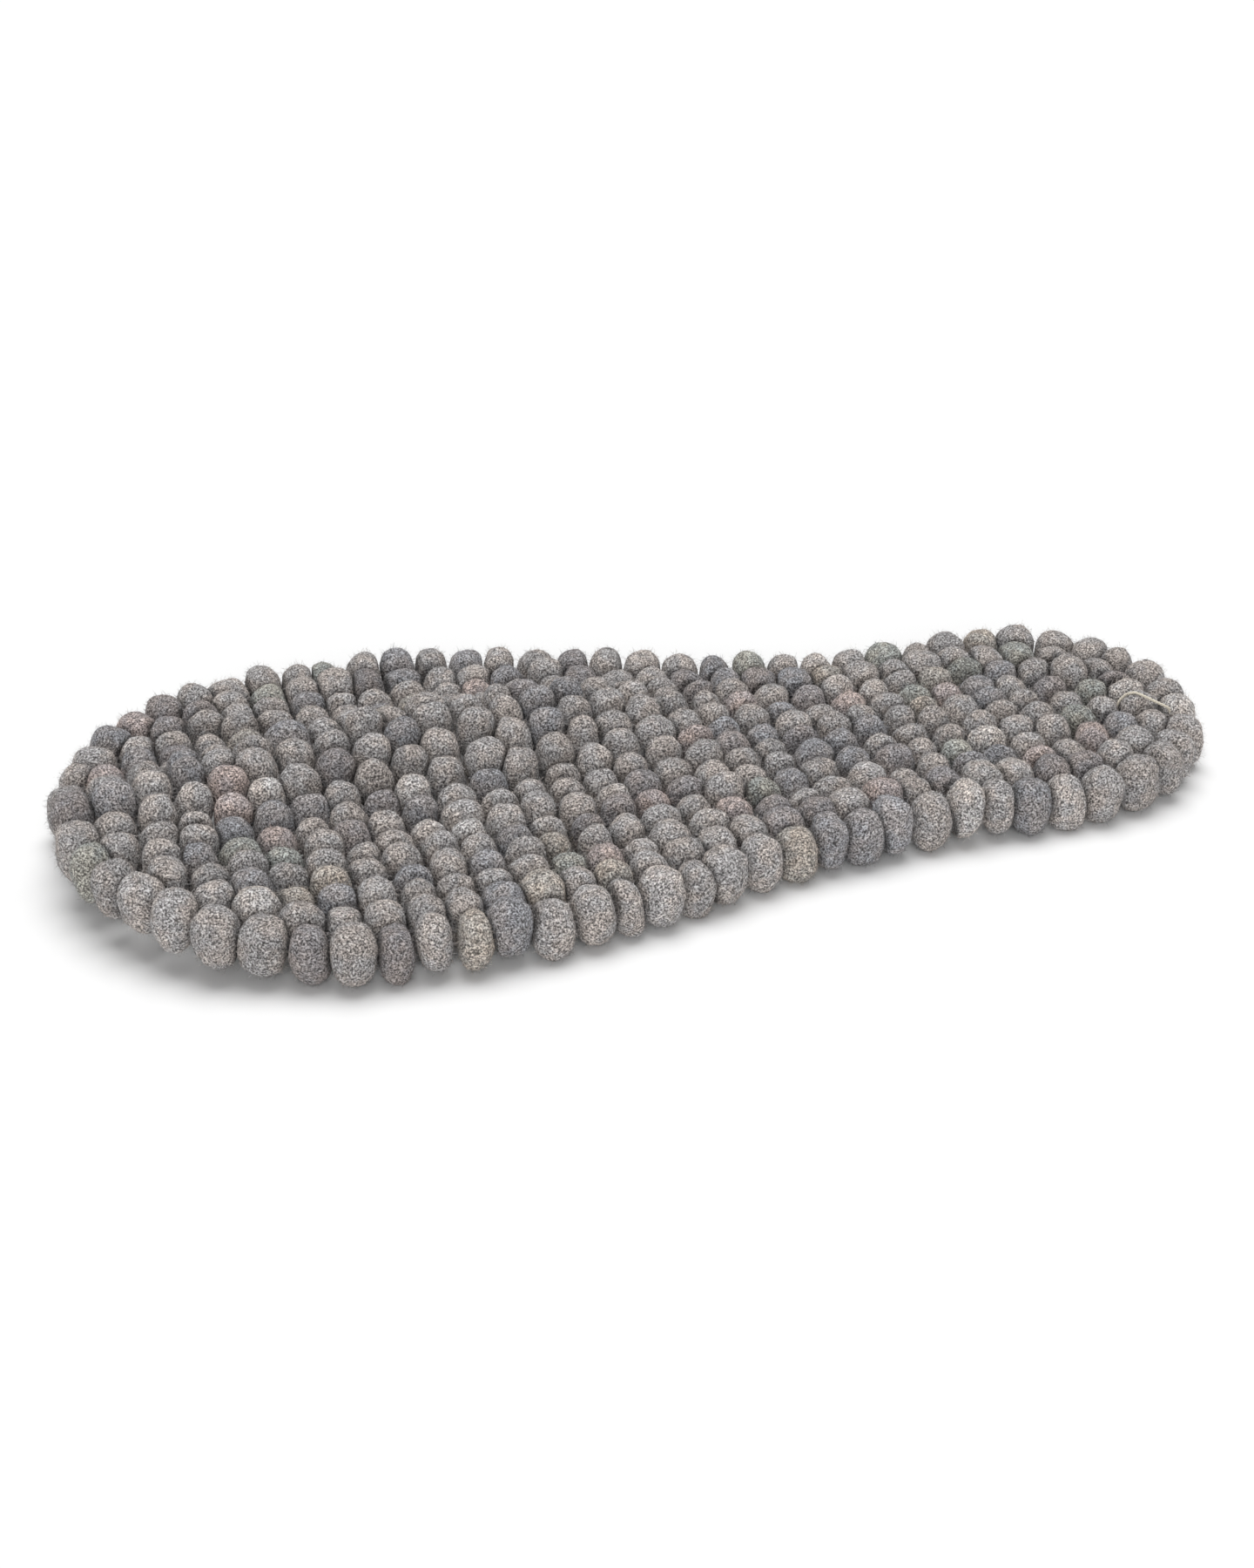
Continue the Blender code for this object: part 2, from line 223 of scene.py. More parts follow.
def walk_round(surface):
    """The rim's middle line, anticlockwise from the front, as an array of x and y."""
    outer = meet(surface, (START_X, -PROBE_REACH, MID_LEVEL), (0, 1, 0))
    inner = meet(surface, (START_X, 0, MID_LEVEL), (0, -1, 0))
    place = Vector((START_X, (outer.y + inner.y) / 2, MID_LEVEL))
    heading = Vector((1, 0, 0))
    line = [place]
    for _ in range(MOST_STEPS):
        guess = line[-1] + STEP * heading
        inward = Vector((-heading.y, heading.x, 0))
        outer = meet(surface, guess - FEELER * inward, inward)
        inner = meet(surface, guess + FEELER * inward, -inward)
        felt = outer and inner and (outer - inner).length < FEELER
        middle = (outer + inner) / 2 if felt else guess
        middle = guess.lerp(middle, EASING)
        heading = (middle - line[-1]).normalized()
        line.append(middle)
        if len(line) > FEWEST_STEPS and (middle - line[0]).length < STEP:
            break
    ring = np.array([(p.x, p.y) for p in line[:-1]])
    for _ in range(SMOOTHING_ROUNDS):
        ring = (np.roll(ring, 1, axis=0) + 2 * ring + np.roll(ring, -1, axis=0)) / 4
    return ring


ring = walk_round(rim_surface)
ring = np.vstack([ring, ring[:1]])
ring_length = np.concatenate([[0], np.cumsum(np.linalg.norm(np.diff(ring, axis=0), axis=1))])
print("rim length", round(float(ring_length[-1]), 4), "m")

# %% Place the rim balls
RIM_PITCH = 0.0205
RIM_HALF_DEPTH = 0.0095
RIM_UNEVENNESS = 0.09


def ring_place(s):
    """A place on the rim's middle line at a length along it."""
    s = s % ring_length[-1]
    return Vector((np.interp(s, ring_length, ring[:, 0]), np.interp(s, ring_length, ring[:, 1])))


def crossings(x):
    """Lengths along the rim where it crosses x."""
    gap = ring[:, 0] - x
    at = np.nonzero(gap[:-1] * gap[1:] < 0)[0]
    return [
        ring_length[k] + (ring_length[k + 1] - ring_length[k]) * gap[k] / (gap[k] - gap[k + 1])
        for k in at
    ]


cuts = sorted(s for fold in folds for s in crossings(fold["x"]))
for start, end in zip(cuts, cuts[1:] + [cuts[0] + ring_length[-1]]):
    count = round((end - start) / RIM_PITCH)
    for s, half_width in shared_out(start, end, count, RIM_UNEVENNESS):
        here, ahead = ring_place(s), ring_place(s + STEP)
        bottom, top = height_span(rim_surface, here.x, here.y)
        balls.append({
            "row": -1, "centre": (here.x, here.y, (bottom + top) / 2),
            "turn": math.atan2(ahead.y - here.y, ahead.x - here.x) - math.pi / 2,
            "half": (RIM_HALF_DEPTH, half_width), "end": False,
        })
print("rim balls", len(balls) - row_ball_count, "all balls", len(balls))

# %% [markdown]
# ## Wool colours
# The wool is carded from grey and brown fleece, so every ball comes out a little different. Most
# are a neutral warm grey. A few are bluish, greenish, rosy, tan, pale or dark, and these come in
# loose groups, because neighbours are often felted from one batch. A slow noise picks the batches.

# %% Pick each ball's shade and its own small irregularities
WOOL_SHADES = {
    "neutral": (1.00, 1.00, 1.00),
    "bluish": (0.78, 0.81, 0.86),
    "greenish": (0.86, 0.92, 0.88),
    "rosy": (1.07, 0.98, 0.97),
    "tan": (1.04, 1.01, 0.94),
    "pale": (1.22, 1.22, 1.21),
    "dark": (0.74, 0.73, 0.75),
}
BATCH_SIZE = 0.050
BATCH_LEVEL = 0.16         # above this the slow noise marks a bluish or dark batch
BATCH_START = Vector((7.0, 0.0, 0.0))  # where in the slow noise the mat lies
BATCH_PLAIN_SHARE = 0.5    # share of a batch's balls that stay neutral
BLUISH_SHARE = 0.6         # the others in a batch are bluish or dark
PLAIN_SHARE = 0.72
SHADE_JITTER = 0.07


def wool_shade(place):
    """A colour factor for a ball, from the batch it sits in and its own luck."""
    batch = noise.noise(Vector(place) / BATCH_SIZE + BATCH_START)
    draw, second_draw = luck.random(2)
    if batch > BATCH_LEVEL and draw > BATCH_PLAIN_SHARE:
        name = "bluish" if second_draw < BLUISH_SHARE else "dark"
    elif draw < PLAIN_SHARE:
        name = "neutral"
    else:
        name = list(WOOL_SHADES)[1 + int(second_draw * (len(WOOL_SHADES) - 1))]
    brightness = 1 + SHADE_JITTER * luck.standard_normal()
    return [channel * brightness for channel in WOOL_SHADES[name]]


HALF_HEIGHT = 0.015
SIDE_JITTER = 0.0010
HEIGHT_JITTER = 0.0013
SIZE_JITTER = 0.045
TILT_JITTER = math.radians(6)
for ball in balls:
    ball["shade"] = wool_shade(ball["centre"])
    shift = luck.normal(0, (SIDE_JITTER, SIDE_JITTER, HEIGHT_JITTER))
    ball["centre"] = tuple(np.array(ball["centre"]) + shift)
    ball["half"] = (*ball["half"] * (1 + luck.normal(0, SIZE_JITTER, 2)), HALF_HEIGHT)
    ball["tilt"] = tuple(luck.normal(0, TILT_JITTER, 2))
print("shades picked for", len(balls), "balls")

# %% [markdown]
# ## Helpers for node trees
# Finishes and repeated shapes are both node trees. One small class wraps a socket, so that sums are
# written as sums, and one method makes any other node from its type, its settings and its inputs.

# %% Number and Recipe
def new_object(name, data):
    """A new object of the scene that holds some data."""
    made = bpy.data.objects.new(name, data)
    bpy.context.scene.collection.objects.link(made)
    return made


def final_mesh(obj):
    """An object's mesh with its modifiers worked in."""
    bpy.context.view_layer.update()
    evaluated = obj.evaluated_get(bpy.context.evaluated_depsgraph_get())
    return bpy.data.meshes.new_from_object(evaluated)


class Number:
    """A value in a node tree. Python's arithmetic signs on it add Math nodes."""

    def __init__(self, recipe, socket):
        self.recipe = recipe
        self.socket = socket

    def maths(self, operation, first, second):
        made = self.recipe.node("ShaderNodeMath", {"operation": operation}, {0: first, 1: second})
        return Number(self.recipe, made.outputs[0])

    def __add__(self, other):
        return self.maths("ADD", self, other)

    def __radd__(self, other):
        return self.maths("ADD", other, self)

    def __rsub__(self, other):
        return self.maths("SUBTRACT", other, self)

    def __mul__(self, other):
        return self.maths("MULTIPLY", self, other)

    def __rmul__(self, other):
        return self.maths("MULTIPLY", other, self)


class Recipe:
    """Builds a node tree, for a finish or for a shape."""

    def __init__(self, tree):
        self.tree = tree

    def node(self, kind, settings=None, inputs=None):
        """Makes a node: its settings are set first, then its inputs are linked or given values."""
        made = self.tree.nodes.new(kind)
        for name, value in (settings or {}).items():
            setattr(made, name, value)
        for key, value in (inputs or {}).items():
            socket = made.inputs[key]
            if isinstance(value, Number):
                value = value.socket
            if isinstance(value, bpy.types.NodeSocket):
                self.tree.links.new(value, socket)
            else:
                socket.default_value = value
        return made

    def number(self, kind, settings=None, inputs=None, output=0):
        return Number(self, self.node(kind, settings, inputs).outputs[output])


def shape_tree(name, sizes):
    """A Geometry Nodes tree with named inputs. Returns the tree, its recipe and its input sockets."""
    tree = bpy.data.node_groups.new(name, "GeometryNodeTree")
    tree.interface.new_socket("Geometry", in_out="INPUT", socket_type="NodeSocketGeometry")
    tree.interface.new_socket("Geometry", in_out="OUTPUT", socket_type="NodeSocketGeometry")
    for label, kind in sizes.items():
        tree.interface.new_socket(label, in_out="INPUT", socket_type=kind)
    recipe = Recipe(tree)
    return tree, recipe, recipe.node("NodeGroupInput").outputs


def grow(obj, tree, values):
    """Runs a shape tree on an object and returns the result as a plain mesh."""
    step = obj.modifiers.new(tree.name, "NODES")
    step.node_group = tree
    for item in tree.interface.items_tree:
        if item.in_out == "INPUT" and item.name in values:
            step[item.identifier] = values[item.name]
    mesh = final_mesh(obj)
    obj.modifiers.remove(step)
    return mesh


print("helpers ready")

# %% [markdown]
# ## The wool felt finish
# Felt is matt and a little hairy. Up close it is salt and pepper: dark and pale fibres lie over a
# grey ground. A fine noise gives the flecks, a broader one the tufts, and a slow one the wisps of
# bluish or rosy fleece that were rolled in. All of it is multiplied by the ball's own shade. The
# same flecks lift the surface, and felt that is pressed against a neighbour is painted darker:
# painted shade that stands for the shade in the gaps between balls.

# %% Make the felt finish
FELT_GROUND = (0.345, 0.321, 0.306, 1.0)
FELT_DARK = (0.060, 0.056, 0.054, 1.0)
FELT_PALE = (0.730, 0.700, 0.675, 1.0)
BLUISH_WISP = (0.955, 0.985, 1.03, 1.0)
ROSY_WISP = (1.04, 0.995, 0.97, 1.0)
FLECKS_PER_M = 1040.0
TUFTS_PER_M = 380.0
WISPS_PER_M = 85.0
WISP_RANGE = (0.35, 0.65)          # noise levels between which a wisp goes from bluish to rosy
DARK_FLECKS = (0.495, 0.425, 0.96)     # noise level where they start, where they are full, strength
PALE_FLECKS = (0.525, 0.60, 0.95)
FLECK_WEIGHT = 0.85                # pale flecks follow the flecks this much, and else the tufts
BASE_LEVEL, WISP_LEVEL, TUFT_LEVEL = 0.69, 0.30, 0.40
# Painted shade: felt pressed against a neighbour is painted this much darker, for the shade in the gaps.
GAP_SHADE_LEVEL = 0.28               # brightness of felt pressed flat, against open felt
FLECK_RELIEF, TUFT_RELIEF = 0.7, 0.8
RELIEF_DEPTH = 0.0015


def felt_finish(name, lightness=1.0, bloom=0.12):
    """Marled wool. lightness scales its colour, and bloom is the pale down at its edges."""
    made = bpy.data.materials.new(name)
    made.use_nodes = True
    recipe = Recipe(made.node_tree)
    shader = made.node_tree.nodes["Principled BSDF"]
    place = recipe.node("ShaderNodeTexCoord").outputs["Object"]

    def cloud(scale, detail, rough=0.6):
        return recipe.number(
            "ShaderNodeTexNoise", {}, {"Vector": place, "Scale": scale, "Detail": detail, "Roughness": rough}
        )

    def step_between(value, low, high, top):
        return recipe.number(
            "ShaderNodeMapRange", {"interpolation_type": "SMOOTHSTEP"},
            {"Value": value, "From Min": low, "From Max": high, "To Min": 0.0, "To Max": top},
        )

    def mix(kind, share, first, second):
        settings = {"data_type": "RGBA", "blend_type": kind}
        return recipe.node("ShaderNodeMix", settings, {0: share, 6: first, 7: second}).outputs[2]

    def grey(level):
        return recipe.node("ShaderNodeCombineColor", {}, {0: level, 1: level, 2: level}).outputs[0]

    flecks = cloud(FLECKS_PER_M, 3.0, 0.7)
    tufts = cloud(TUFTS_PER_M, 3.0)
    wisps = cloud(WISPS_PER_M, 2.0)
    wisp = mix("MIX", step_between(wisps, *WISP_RANGE, 1.0), BLUISH_WISP, ROSY_WISP)
    colour = mix("MIX", step_between(flecks, *DARK_FLECKS), FELT_GROUND, FELT_DARK)
    pale_pattern = flecks * FLECK_WEIGHT + tufts * (1 - FLECK_WEIGHT)
    colour = mix("MIX", step_between(pale_pattern, *PALE_FLECKS), colour, FELT_PALE)
    colour = mix("MULTIPLY", 1.0, colour, wisp)
    openness = recipe.number("ShaderNodeAttribute", {"attribute_name": "openness"}, output=2)
    cloudy = BASE_LEVEL + WISP_LEVEL * wisps + TUFT_LEVEL * tufts
    # Painted shade in the gaps: where openness is low, the felt's colour is painted darker.
    level = cloudy * (GAP_SHADE_LEVEL + (1 - GAP_SHADE_LEVEL) * openness) * lightness
    colour = mix("MULTIPLY", 1.0, colour, grey(level))
    shade = recipe.node("ShaderNodeAttribute", {"attribute_name": "wool_shade"}).outputs["Color"]
    colour = mix("MULTIPLY", 1.0, colour, shade)
    made.node_tree.links.new(colour, shader.inputs["Base Color"])
    relief = flecks * FLECK_RELIEF + tufts * TUFT_RELIEF
    bump = recipe.node(
        "ShaderNodeBump", {}, {"Strength": 1.0, "Distance": RELIEF_DEPTH, "Height": relief}
    )
    made.node_tree.links.new(bump.outputs[0], shader.inputs["Normal"])
    roughness = 0.86 + 0.12 * tufts
    made.node_tree.links.new(roughness.socket, shader.inputs["Roughness"])
    shader.inputs["Specular IOR Level"].default_value = 0.10
    shader.inputs["Sheen Weight"].default_value = bloom
    shader.inputs["Sheen Roughness"].default_value = 0.6
    shader.inputs["Sheen Tint"].default_value = (0.95, 0.92, 0.88, 1.0)
    return made


wool_felt = felt_finish("grey_marl_wool_felt")
loose_wool = felt_finish("loose_wool_fibres", lightness=1.25, bloom=0.0)
print("felt finishes made")

# %% [markdown]
# ## One ball, several hundred times
# Geometry Nodes put the same small cage at every ball's place: a cube whose faces are cut in four
# each way and pushed out to a sphere. Each ball's turn and shade ride on its point as named
# attributes, so the placed cage keeps them. The ball's number stays with its vertices too, which
# lets the next step press each ball against its own neighbours.

# %% Place the ball cages
CAGE_CUTS = 5              # vertices along a cube edge: 4 x 4 faces a side
CAGE_RADIUS = 0.01


def add_layer(mesh, name, kind, field, values):
    """Stores one value for each vertex under a name."""
    layer = mesh.attributes.new(name, kind, "POINT")
    layer.data.foreach_set(field, np.ravel(values))


def ball_points(name, chosen):
    """A mesh of loose points, one for each chosen ball, with what the ball needs as attributes."""
    mesh = bpy.data.meshes.new(name)
    mesh.from_pydata([balls[k]["centre"] for k in chosen], [], [])
    add_layer(mesh, "ball_number", "FLOAT", "value", chosen)
    add_layer(mesh, "ball_turn", "FLOAT_VECTOR", "vector",
              [(*balls[k]["tilt"], balls[k]["turn"]) for k in chosen])
    add_layer(mesh, "wool_shade", "FLOAT_COLOR", "color", [(*balls[k]["shade"], 1.0) for k in chosen])
    return new_object(name, mesh)


def cage_tree():
    """Puts a round cage at each point, turned as the point says."""
    sizes = {"Cuts": "NodeSocketInt", "Radius": "NodeSocketFloat", "Finish": "NodeSocketMaterial"}
    tree, recipe, given = shape_tree("felt_ball_cages", sizes)
    cube = recipe.node(
        "GeometryNodeMeshCube", {},
        {"Size": (2, 2, 2), "Vertices X": given["Cuts"], "Vertices Y": given["Cuts"],
         "Vertices Z": given["Cuts"]},
    )
    corner = recipe.node("GeometryNodeInputPosition").outputs[0]
    outward = recipe.node("ShaderNodeVectorMath", {"operation": "NORMALIZE"}, {0: corner})
    sized = recipe.node(
        "ShaderNodeVectorMath", {"operation": "SCALE"}, {0: outward.outputs[0], "Scale": given["Radius"]}
    )
    round_cage = recipe.node(
        "GeometryNodeSetPosition", {}, {"Geometry": cube.outputs["Mesh"], "Position": sized.outputs[0]}
    )
    turn = recipe.node(
        "GeometryNodeInputNamedAttribute", {"data_type": "FLOAT_VECTOR"}, {"Name": "ball_turn"}
    )
    turned = recipe.node("FunctionNodeEulerToRotation", {}, {0: turn.outputs["Attribute"]})
    placed = recipe.node(
        "GeometryNodeInstanceOnPoints", {},
        {"Points": given["Geometry"], "Instance": round_cage.outputs["Geometry"],
         "Rotation": turned.outputs[0]},
    )
    real = recipe.node("GeometryNodeRealizeInstances", {}, {"Geometry": placed.outputs[0]})
    soft = recipe.node("GeometryNodeSetShadeSmooth", {}, {0: real.outputs[0]})
    finished = recipe.node(
        "GeometryNodeSetMaterial", {}, {"Geometry": soft.outputs[0], "Material": given["Finish"]}
    )
    recipe.node("NodeGroupOutput", {}, {0: finished.outputs[0]})
    return tree


ball_cages = cage_tree()
print("ball cage tree made")

# %% [markdown]
# ## Pressing the balls together
# A loose felt ball is round, and standing on end in the mat it is squeezed into a short post with
# round ends. Most are still wider than their place to the sides, so they go flat at a neighbour
# and stay domed where they are free. For every ball and neighbour there is a plane half way between
# them, and what stands past that plane is pushed back softly. How far each point was pushed is kept
# as "openness": the finish is painted darker where it is low, as painted shade in the gaps between
# balls, and loose fibres grow only where it is high.

# %% The free shape of a ball
# A free ball's width against its place in the mat, to its two sides and then along its string.
ROW_SPARE = (1.125, 0.975)
END_SPARE = (1.20, 1.30)   # a row's end ball spreads into the corner beside the rim
TIP_ROW_SPARE = (1.25, 1.0)     # the first and the last row spread towards the tips
RIM_SPARE = (1.08, 1.04)
RIM_INWARD = 1.30          # a rim ball swells this much more on its inner side
CAP_HEIGHT = 0.0105        # height of the round end above the straight stretch
SHOULDER = 2.4             # how fast the round end turns into the straight stretch
FOOT_TAPER = 0.10          # the lower end is a little narrower


def free_shape(directions, number):
    """Places on a free ball's surface for directions from its middle, in its own axes."""
    ball = balls[number]
    in_rim = ball["row"] < 0
    if in_rim:
        spare = RIM_SPARE
    elif ball["end"]:
        spare = END_SPARE
    elif ball["row"] in (0, len(row_names) - 1):
        spare = TIP_ROW_SPARE
    else:
        spare = ROW_SPARE
    side, front = np.multiply(ball["half"][:2], spare)
    across, along, up = directions.T
    if in_rim:
        across = np.where(across < 0, RIM_INWARD * across, across)
    taper = 1 - FOOT_TAPER * np.clip(-up, 0, 1)
    post = (ball["half"][2] - CAP_HEIGHT) * np.tanh(SHOULDER * up)
    return np.column_stack([side * taper * across, front * taper * along, CAP_HEIGHT * up + post])


print("free ball", round(2000 * ROW_SPARE[0] * balls[0]["half"][0], 1), "mm wide")

# %% Press and lump the balls
PRESS_SOFTNESS = 0.0006
OPENING_STEEPNESS = 1.6
CONTACT_GAP = 0.00015
NEAR = 0.034
LUMP_SIZE = 0.0085
LUMP_DEPTH = 0.0011
DIMPLE_SIZE = 0.0032
DIMPLE_DEPTH = 0.00050
LUMP_STRIDE = (3.1, 1.7, 0.0)      # how far apart two balls' lumps lie in the noise
FLOOR_CLEARANCE = 0.0002

centres = np.array([ball["centre"] for ball in balls])


def reach(number, direction):
    """How far a ball reaches in plan along a direction."""
    angle = math.atan2(direction[1], direction[0]) - balls[number]["turn"]
    a, b = balls[number]["half"][:2]
    return 1 / math.hypot(math.cos(angle) / a, math.sin(angle) / b)


def press(offsets, number):
    """Pushes a ball's surface back from its neighbours. Returns it with how far each point moved."""
    moved = np.zeros(len(offsets))
    apart = centres - centres[number]
    distance = np.linalg.norm(apart, axis=1)
    for other in np.nonzero((distance > 0) & (distance < NEAR))[0]:
        towards = apart[other] / distance[other]
        mine, theirs = reach(number, towards), reach(other, -towards)
        plane = distance[other] * mine / (mine + theirs) - CONTACT_GAP
        past = offsets @ towards - plane
        push = PRESS_SOFTNESS * np.logaddexp(0, past / PRESS_SOFTNESS)
        offsets = offsets - push[:, None] * towards
        moved += push
    return offsets, moved


def lumps(point, number):
    """A hand-felted unevenness at a point of one ball."""
    own = Vector([stride * number for stride in LUMP_STRIDE])
    return (LUMP_DEPTH * noise.noise(Vector(point) / LUMP_SIZE + own)
            + DIMPLE_DEPTH * noise.noise(Vector(point) / DIMPLE_SIZE + own))


def shape_balls(mesh):
    """Turns the placed round cages into pressed balls."""
    count = len(mesh.vertices)
    flat = np.empty(count * 3)
    mesh.vertices.foreach_get("co", flat)
    points = flat.reshape(-1, 3)
    numbers = np.empty(count)
    mesh.attributes["ball_number"].data.foreach_get("value", numbers)
    numbers = np.rint(numbers).astype(int)
    openness = np.ones(count)
    for number in np.unique(numbers):
        own = np.nonzero(numbers == number)[0]
        ball = balls[number]
        turn = np.array(Euler((*ball["tilt"], ball["turn"])).to_matrix())
        directions = points[own] - centres[number]
        directions /= np.linalg.norm(directions, axis=1)[:, None]
        offsets = free_shape(directions @ turn, number) @ turn.T
        outward = offsets / np.linalg.norm(offsets, axis=1)[:, None]
        offsets += outward * np.array([lumps(offset, number) for offset in offsets])[:, None]
        offsets, moved = press(offsets, number)
        shaped = centres[number] + offsets
        below = FLOOR_CLEARANCE - shaped[:, 2]
        shaped[:, 2] += PRESS_SOFTNESS * np.logaddexp(0, below / PRESS_SOFTNESS)
        points[own] = shaped
        openness[own] = np.exp(-OPENING_STEEPNESS * moved / PRESS_SOFTNESS)
    mesh.vertices.foreach_set("co", points.ravel())
    add_layer(mesh, "openness", "FLOAT", "value", openness)
    mesh.update()


print("softest place of a press", PRESS_SOFTNESS, "m")

# %% [markdown]
# ## Loose fibres
# Felt never lies quite flat: short ends of wool stand off it and catch the light round every ball.
# Geometry Nodes scatter points over the open parts of the felt and put a thin bent blade of a few
# faces on each, leaning every way. Only the open parts get them, because "openness" thins them out.

# %% The fibre tree
FIBRES_PER_M2 = 260000.0
FIBRE_LENGTH = 0.0025
FIBRE_WIDTH = 0.00015
FIBRE_LEAN = 0.95
FIBRE_BEND = 160.0         # how hard a blade bends, per metre
FOOT_SHARE = 1.15          # a blade's width at its foot, against its middle
TAPER = 330.0              # and how fast it narrows, per metre
SHORTEST, LONGEST = 0.45, 1.35


def fibre_tree():
    """Scatters bent blades over the open parts of a mesh."""
    sizes = {
        "Density": "NodeSocketFloat", "Length": "NodeSocketFloat", "Width": "NodeSocketFloat",
        "Lean": "NodeSocketFloat", "Seed": "NodeSocketInt", "Finish": "NodeSocketMaterial",
    }
    tree, recipe, given = shape_tree("loose_fibres", sizes)
    blade = recipe.node(
        "GeometryNodeMeshGrid", {},
        {"Size X": given["Width"], "Size Y": given["Length"], "Vertices X": 2, "Vertices Y": 3},
    )
    corner = recipe.node("GeometryNodeInputPosition").outputs[0]
    parts = recipe.node("ShaderNodeSeparateXYZ", {}, {0: corner})
    across, along = (Number(recipe, parts.outputs[k]) for k in (0, 1))
    length = Number(recipe, given["Length"])
    up = along + 0.5 * length
    bend = up * up * FIBRE_BEND
    taper = across * (FOOT_SHARE - up * TAPER)
    stood = recipe.node("ShaderNodeCombineXYZ", {}, {0: taper, 1: bend, 2: up})
    upright = recipe.node(
        "GeometryNodeSetPosition", {}, {"Geometry": blade.outputs["Mesh"], "Position": stood.outputs[0]}
    )
    open_share = recipe.node(
        "GeometryNodeInputNamedAttribute", {"data_type": "FLOAT"}, {"Name": "openness"}
    )
    scattered = recipe.node(
        "GeometryNodeDistributePointsOnFaces", {"distribute_method": "RANDOM"},
        {"Mesh": given["Geometry"], "Seed": given["Seed"],
         "Density": recipe.number(
             "ShaderNodeMath", {"operation": "MULTIPLY"},
             {0: given["Density"], 1: open_share.outputs["Attribute"]},
         )},
    )
    lean = Number(recipe, given["Lean"])
    leaning = recipe.node(
        "FunctionNodeRandomValue", {"data_type": "FLOAT_VECTOR"},
        {0: (-1.0, -1.0, -math.pi), 1: (1.0, 1.0, math.pi), "Seed": given["Seed"]},
    )
    angles = recipe.node("ShaderNodeSeparateXYZ", {}, {0: leaning.outputs[0]})
    sway = [Number(recipe, angles.outputs[k]) for k in range(3)]
    tipped = recipe.node("ShaderNodeCombineXYZ", {}, {0: sway[0] * lean, 1: sway[1] * lean, 2: sway[2]})
    tip = recipe.node("FunctionNodeEulerToRotation", {}, {0: tipped.outputs[0]})
    turned = recipe.node(
        "FunctionNodeRotateRotation", {"rotation_space": "LOCAL"},
        {"Rotation": scattered.outputs["Rotation"], "Rotate By": tip.outputs[0]},
    )
    size = recipe.number(
        "FunctionNodeRandomValue", {"data_type": "FLOAT"},
        {2: SHORTEST, 3: LONGEST, "Seed": given["Seed"]}, output=1,
    )
    planted = recipe.node(
        "GeometryNodeInstanceOnPoints", {},
        {"Points": scattered.outputs["Points"], "Instance": upright.outputs["Geometry"],
         "Rotation": turned.outputs[0], "Scale": size},
    )
    real = recipe.node("GeometryNodeRealizeInstances", {}, {"Geometry": planted.outputs[0]})
    finished = recipe.node(
        "GeometryNodeSetMaterial", {}, {"Geometry": real.outputs[0], "Material": given["Finish"]}
    )
    recipe.node("NodeGroupOutput", {}, {0: finished.outputs[0]})
    return tree


fibres = fibre_tree()
print("fibre tree made")

# %% [markdown]
# ## Which balls move with what
# Two rows on each side of a fold are grouped with it, into a piece that is baked where it stands.
# The rows between them, and the rim balls beside those rows, move with their panel's body. Each
# fold and each panel gets one piece of row balls and one of rim balls, and the loose fibres of each
# are a piece of their own.

# %% Group the balls
ROWS_EACH_SIDE = 2
REACH_MARGIN = 0.02        # of a row's width
REACH_ROOM = 0.0006        # for the gap at the fold
row_low, row_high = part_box(row_names[0])
FOLD_REACH = (ROWS_EACH_SIDE + REACH_MARGIN) * (row_high.x - row_low.x) + REACH_ROOM


def home_of(ball):
    """Row or rim, the fold that a ball bends with or the panel it rides on, and its number."""
    part = "rim" if ball["row"] < 0 else "row"
    x = ball["centre"][0]
    for number, fold in enumerate(folds):
        if abs(x - fold["x"]) < FOLD_REACH:
            return part, "fold", number
    return part, "panel", sum(1 for fold in folds if x > fold["x"])


groups = {}
for number, ball in enumerate(balls):
    groups.setdefault(home_of(ball), []).append(number)
for (part, kind, number), held in sorted(groups.items()):
    print(part, "balls of", kind, number + 1, len(held))

# %% Build each group of balls and its fibres
def subdivided(obj, levels):
    """Subdivides an object and makes the result its plain mesh."""
    step = obj.modifiers.new("finer", "SUBSURF")
    step.levels = levels
    step.render_levels = levels
    mesh = final_mesh(obj)
    obj.modifiers.remove(step)
    obj.data = mesh
    return obj


def above_floor(mesh):
    """Lifts whatever of a mesh would go into the floor."""
    flat = np.empty(len(mesh.vertices) * 3)
    mesh.vertices.foreach_get("co", flat)
    flat[2::3] = np.maximum(flat[2::3], FLOOR_CLEARANCE)
    mesh.vertices.foreach_set("co", flat)
    mesh.update()


def attach(obj, kind, number):
    """Lets a finished piece ride on its panel; a fold's piece is baked where it stands."""
    if kind == "fold":
        x = folds[number]["x"]
        x - FOLD_REACH
        x + FOLD_REACH
        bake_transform(obj)
    else:
        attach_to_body(obj, f"panel_{number + 1}")


def nodes_under(part, kind, number, held):
    """Names of the frame's nodes that a felt piece stands for."""
    if part == "row":
        return sorted({row_names[balls[k]["row"]] for k in held})
    return [f"rim_{side}_{number + 1}" for side in ("front", "back")] if kind == "panel" else []


